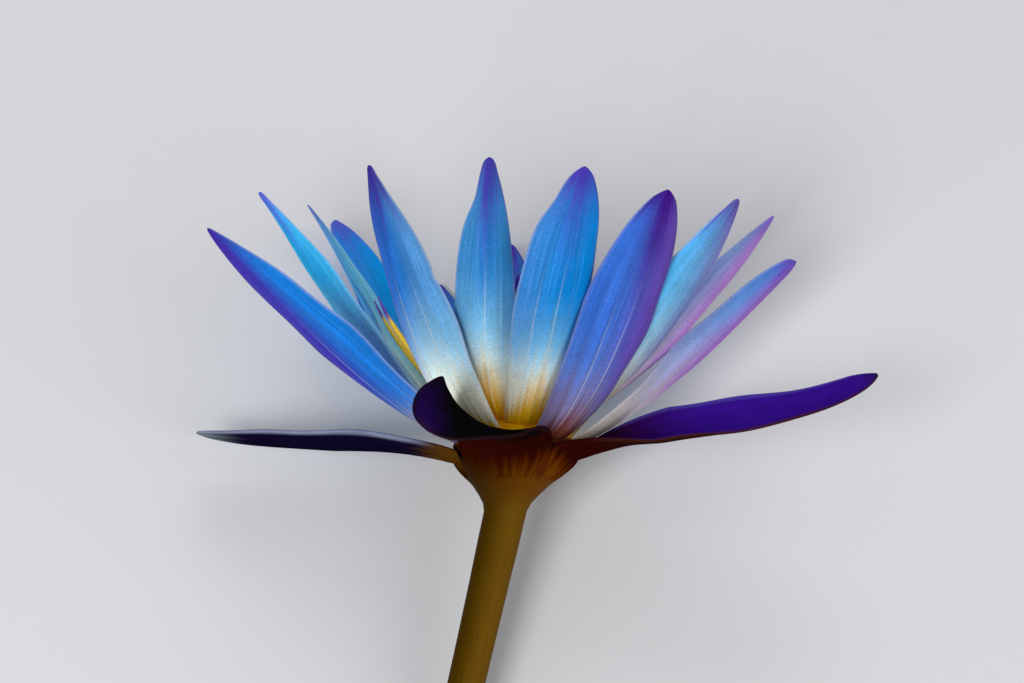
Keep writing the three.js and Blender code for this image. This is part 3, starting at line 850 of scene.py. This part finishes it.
def stem_mesh():
    """The stem with the receptacle it widens into, as one skin of rings."""
    mesh = new_mesh("level", "turn", "side", "cut")
    sections = stem_sections()
    # The cut end is cupped a little, so its rings sink towards the middle.
    centre, across, depth, radius, level = sections[0]
    inward = (sections[1][0] - centre).normalized()
    cut_rings = [
        (centre + inward * sink, across, depth, radius * width, level)
        for width, sink in STEM_CUT
    ]
    rings = []
    for a, b in zip(sections, sections[1:]):
        parts = 4 if a[4] < RECEPTACLE[0][0] else 3
        for k in range(parts):
            share = k / parts
            rings.append([blend(p, q, share) for p, q in zip(a, b)])
    rings.append(list(sections[-1]))
    built = []
    for centre, across, depth, radius, level in cut_rings + rings:
        ring = []
        for j in range(SKIN_SIDES):
            angle = 2 * pi * j / SKIN_SIDES
            rib = 1 + STEM_RIB * cos(angle * STEM_RIBS)
            point = centre + across * (radius * rib * cos(angle))
            point += depth * (radius * rib * sin(angle))
            # Side runs from -1 on the left to 1 on the right; the stem colours use it to paint
            # shade, darker on the left.
            ring.append(add_point(
                mesh, LAID @ point * MM, level=level, turn=abs(2 * j / SKIN_SIDES - 1),
                side=cos(angle), cut=len(built) < len(cut_rings),
            ))
        built.append(ring)
    close_rings(mesh, built)
    return finished("stem_skin", mesh)


fit(stem_mesh(), "stem", plant_material("stem_skin", "stem colours", 0.05, 0.01))

# ---- Stamens and pistil ----------------------------------------------------------------

STAMEN_ROWS = [
    dict(count=15, radius=7.8, height=3.4, flare=46, spread=12, length=25),
    dict(count=14, radius=7.55, height=3.9, flare=42, spread=8, length=21),
    dict(count=11, radius=7.35, height=4.3, flare=28, spread=0, length=15),
]
STAMEN_LEAN = dict(towards=278, by=11, longer=0.12)
STAMEN_RING = [(6.95, 2.5), (8.2, 2.5), (7.8, 3.9), (6.95, 5.0)]
PISTIL_PROFILE = [
    (0, 2.5), (6.6, 2.5), (6.6, 4.2), (5.9, 4.9), (3.2, 4.2), (1.5, 4.1), (1.3, 5.0), (0.7, 5.6),
    (0, 5.7),
]
BEAK = dict(count=14, radius=5.9, height=3.6, flare=10, spread=-40, length=3.2)


def make_ring_tree():
    """A tree that sets copies of its own mesh on a ring round the axis, leaning to one side."""
    tree = bpy.data.node_groups.new("ring round the axis", "GeometryNodeTree")
    sockets = [
        ("Geometry", "NodeSocketGeometry", None), ("Count", "NodeSocketInt", 12),
        ("Radius", FLOAT, 1.0), ("Height", FLOAT, 0.0), ("Turn", FLOAT, 0.0),
        ("Turn Jitter", FLOAT, 0.0), ("Tilt Jitter", FLOAT, 0.0), ("Size Jitter", FLOAT, 0.0),
        ("Lean", FLOAT, 0.0), ("Lean Towards", FLOAT, 0.0), ("Longer", FLOAT, 0.0),
        ("Seed", "NodeSocketInt", 0),
        ("Material", "NodeSocketMaterial", None),
    ]
    for label, kind, default in sockets:
        socket = tree.interface.new_socket(label, in_out="INPUT", socket_type=kind)
        if default is not None:
            socket.default_value = default
    tree.interface.new_socket("Geometry", in_out="OUTPUT", socket_type="NodeSocketGeometry")
    wire = Wiring(tree)
    given = wire.node("NodeGroupInput").outputs
    out = wire.node("NodeGroupOutput").inputs

    def jitter(amount, shift):
        node = wire.node("FunctionNodeRandomValue", data_type="FLOAT")
        wire.feed(node.inputs[2], wire.times(amount, -0.5))
        wire.feed(node.inputs[3], wire.times(amount, 0.5))
        wire.feed(node.inputs["Seed"], wire.math("ADD", given["Seed"], shift))
        return node.outputs[1]

    points = wire.node("GeometryNodePoints")
    wire.feed(points.inputs["Count"], given["Count"])
    place = wire.node("GeometryNodeInputIndex").outputs[0]
    turn = wire.math("DIVIDE", wire.times(place, tau), given["Count"])
    turn = wire.math("ADD", turn, wire.math("ADD", given["Turn"], jitter(given["Turn Jitter"], 0)))
    spot = wire.vector(
        wire.times(wire.math("SINE", turn), given["Radius"]),
        wire.times(wire.math("COSINE", turn), wire.times(given["Radius"], -1)),
        given["Height"],
    )
    wire.feed(points.inputs["Position"], spot)
    facing = wire.math("COSINE", wire.math("SUBTRACT", turn, given["Lean Towards"]))
    tilt = wire.scaled(facing, given["Lean"], jitter(given["Tilt Jitter"], 1))
    rotation = wire.node("FunctionNodeEulerToRotation")
    wire.feed(rotation.inputs[0], wire.vector(tilt, 0.0, turn))
    copies = wire.node("GeometryNodeInstanceOnPoints")
    wire.feed(copies.inputs["Points"], points.outputs[0])
    wire.feed(copies.inputs["Instance"], given["Geometry"])
    wire.feed(copies.inputs["Rotation"], rotation.outputs[0])
    size = wire.math("ADD", jitter(given["Size Jitter"], 2), 1.0)
    size = wire.scaled(facing, given["Longer"], size)
    wire.feed(copies.inputs["Scale"], wire.vector(1.0, 1.0, size))
    real = wire.node("GeometryNodeRealizeInstances")
    wire.feed(real.inputs[0], copies.outputs[0])
    painted = wire.node("GeometryNodeSetMaterial")
    wire.feed(painted.inputs["Geometry"], real.outputs[0])
    wire.feed(painted.inputs["Material"], given["Material"])
    wire.feed(out[0], painted.outputs[0])
    return tree


def ringed(name, shape, tree, **values):
    """The shape, copied round the axis by the tree, as a plain mesh in the flower's frame."""
    piece = finished(name, shape)
    modifier = piece.modifiers.new("ring", "NODES")
    modifier.node_group = tree
    for item in tree.interface.items_tree:
        if item.in_out == "INPUT" and item.name in values:
            modifier[item.identifier] = values[item.name]
    graph = bpy.context.evaluated_depsgraph_get()
    data = bpy.data.meshes.new_from_object(piece.evaluated_get(graph), depsgraph=graph)
    bpy.data.objects.remove(piece)
    return data


def strap_mesh(flare, spread, length, width, thickness, steps, sides, anther):
    """A slim strap that leaves its seat towards -y. Pollen sacs swell on its inner face."""
    mesh = new_mesh("along", "sac")
    centre = Vector((0, 0, 0))
    rings = []
    for i in range(steps + 1):
        s = i / steps
        out = radians(spread + (flare - spread) * (1 - s))
        along = Vector((0, -sin(out), cos(out)))
        depth = along.cross(Vector((1, 0, 0)))
        tip = sqrt(max(0.02, 1 - max(0, (s - 0.8) / 0.2) ** 2))
        half = width / 2 * (1 - 0.3 * s ** 2) * tip
        deep = thickness / 2 * (1 - 0.3 * s) * max(0.4, tip)
        swell = anther * sin(pi * min(1, max(0, (s - 0.3) / 0.52))) ** 0.4
        ring = []
        for j in range(sides):
            angle = tau * j / sides
            x = half * cos(angle)
            y = deep * sin(angle)
            sac = swell * exp(-((abs(cos(angle)) - 0.5) / 0.28) ** 2)
            sac = sac if y > 0 else 0
            point = centre + Vector((x, 0, 0)) + depth * (y + sac)
            ring.append(add_point(mesh, point, along=s, sac=sac / anther if anther else 0))
        rings.append(ring)
        centre = centre + along * (length / steps)
    close_rings(mesh, rings)
    return mesh


def turned_mesh(profile, sides, rays=0, groove=0.0):
    """A profile of radius and height turned round the axis, with grooves as rays on top."""
    mesh = bmesh.new()
    columns = []
    for j in range(sides):
        angle = tau * j / sides
        column = []
        for radius, height in profile:
            dip = groove * (0.5 - 0.5 * cos(rays * angle)) if 1.6 < radius < 6.2 else 0
            point = (radius * sin(angle), -radius * cos(angle), height - dip)
            column.append(mesh.verts.new(point))
        columns.append(column)
    closed = profile[0][0] > 0
    count = len(profile)
    for j in range(sides):
        a = columns[j]
        b = columns[(j + 1) % sides]
        for i in range(count if closed else count - 1):
            k = (i + 1) % count
            mesh.faces.new((a[i], b[i], b[k], a[k]))
    bmesh.ops.remove_doubles(mesh, verts=mesh.verts, dist=1e-4)
    bmesh.ops.dissolve_degenerate(mesh, edges=mesh.edges, dist=1e-5)
    bmesh.ops.recalc_face_normals(mesh, faces=mesh.faces)
    return mesh


def smooth_profile(profile, parts):
    """The same profile with each span cut into parts, its inner corners slightly eased."""
    points = []
    for i, (start, end) in enumerate(zip(profile, profile[1:])):
        before = profile[max(i - 1, 0)]
        after = profile[min(i + 2, len(profile) - 1)]
        for k in range(parts):
            t = k / parts
            points.append(tuple(
                q + 0.3 * (r - p) * t
                + (3 * (r - q) - 0.6 * (r - p) - 0.3 * (s - q)) * t ** 2
                + (2 * (q - r) + 0.3 * (r - p) + 0.3 * (s - q)) * t ** 3
                for p, q, r, s in zip(before, start, end, after)
            ))
    points.append(profile[-1])
    return points


def laid_down(name, meshes):
    """Joins plain meshes in the flower's frame and lays them where the flower lies, in metres."""
    mesh = bmesh.new()
    for data in meshes:
        mesh.from_mesh(data)
        bpy.data.meshes.remove(data)
    mesh.transform(Matrix.Scale(MM, 4) @ LAID)
    return finished(name, mesh)


def make_stamens(tree):
    skin = plant_material("stamen_skin", "stamen colours", 0.04, 0.5)
    meshes = [plain_mesh(turned_mesh(STAMEN_RING, 64))]
    for i, row in enumerate(STAMEN_ROWS):
        shape = strap_mesh(row["flare"], row["spread"], row["length"], 1.7, 0.8, 18, 14, 0.3)
        values = {
            "Count": row["count"], "Radius": row["radius"], "Height": row["height"],
            "Turn": pi * i / row["count"], "Turn Jitter": radians(6),
            "Tilt Jitter": radians(7), "Size Jitter": 0.1, "Seed": 7 + i * 10,
            "Lean": radians(STAMEN_LEAN["by"]), "Longer": STAMEN_LEAN["longer"],
            "Lean Towards": radians(STAMEN_LEAN["towards"]), "Material": skin,
        }
        meshes.append(ringed("stamen", shape, tree, **values))
    fit(laid_down("stamen_brush", meshes), "stamens", skin)


def make_pistil(tree):
    skin = plant_material("pistil_skin", "stamen colours", 0.04, 0.5)
    shape = strap_mesh(BEAK["flare"], BEAK["spread"], BEAK["length"], 1.5, 1.0, 10, 12, 0.0)
    values = {
        "Count": BEAK["count"], "Radius": BEAK["radius"], "Height": BEAK["height"],
        "Seed": 3, "Material": skin,
    }
    disc = turned_mesh(smooth_profile(PISTIL_PROFILE, 3), 112, BEAK["count"], 0.25)
    meshes = [plain_mesh(disc), ringed("beak", shape, tree, **values)]
    fit(laid_down("pistil_disc", meshes), "pistil", skin)


ring_tree = make_ring_tree()
make_stamens(ring_tree)
make_pistil(ring_tree)

# ---- Table and light --------------------------------------------------------------------


def set_table():
    mesh = bmesh.new()
    bmesh.ops.create_grid(mesh, x_segments=1, y_segments=1, size=3.0)
    table = finished("table", mesh)
    table.location.z = -0.0002
    material = bpy.data.materials.new("table_top")
    material.use_nodes = True
    shader = material.node_tree.nodes["Principled BSDF"]
    shader.inputs["Base Color"].default_value = (0.66, 0.66, 0.67, 1)
    shader.inputs["Roughness"].default_value = 0.7
    table.data.materials.append(material)


def add_light(name, place, size, power):
    data = bpy.data.lights.new(name, "AREA")
    data.size = size
    data.energy = power
    light = bpy.data.objects.new(name, data)
    light.location = place
    light.rotation_euler = (-Vector(place)).to_track_quat("-Z", "Y").to_euler()
    bpy.context.scene.collection.objects.link(light)


def set_light():
    add_light("key_light", (-0.4, -0.5, 0.95), 0.45, 7.5)
    add_light("fill_light", (0.8, -0.3, 0.7), 0.7, 3.5)
    add_light("back_light", (0.1, 0.9, 0.7), 0.6, 3)
    add_light("low_light", (-0.75, -0.8, 0.3), 0.6, 2.6)
    world = bpy.data.worlds.new("studio")
    world.use_nodes = True
    world.node_tree.nodes["Background"].inputs["Color"].default_value = (0.9, 0.93, 1.0, 1)
    world.node_tree.nodes["Background"].inputs["Strength"].default_value = 0.28
    bpy.context.scene.world = world
    bpy.context.scene.view_settings.view_transform = "Standard"


set_table()
set_light()
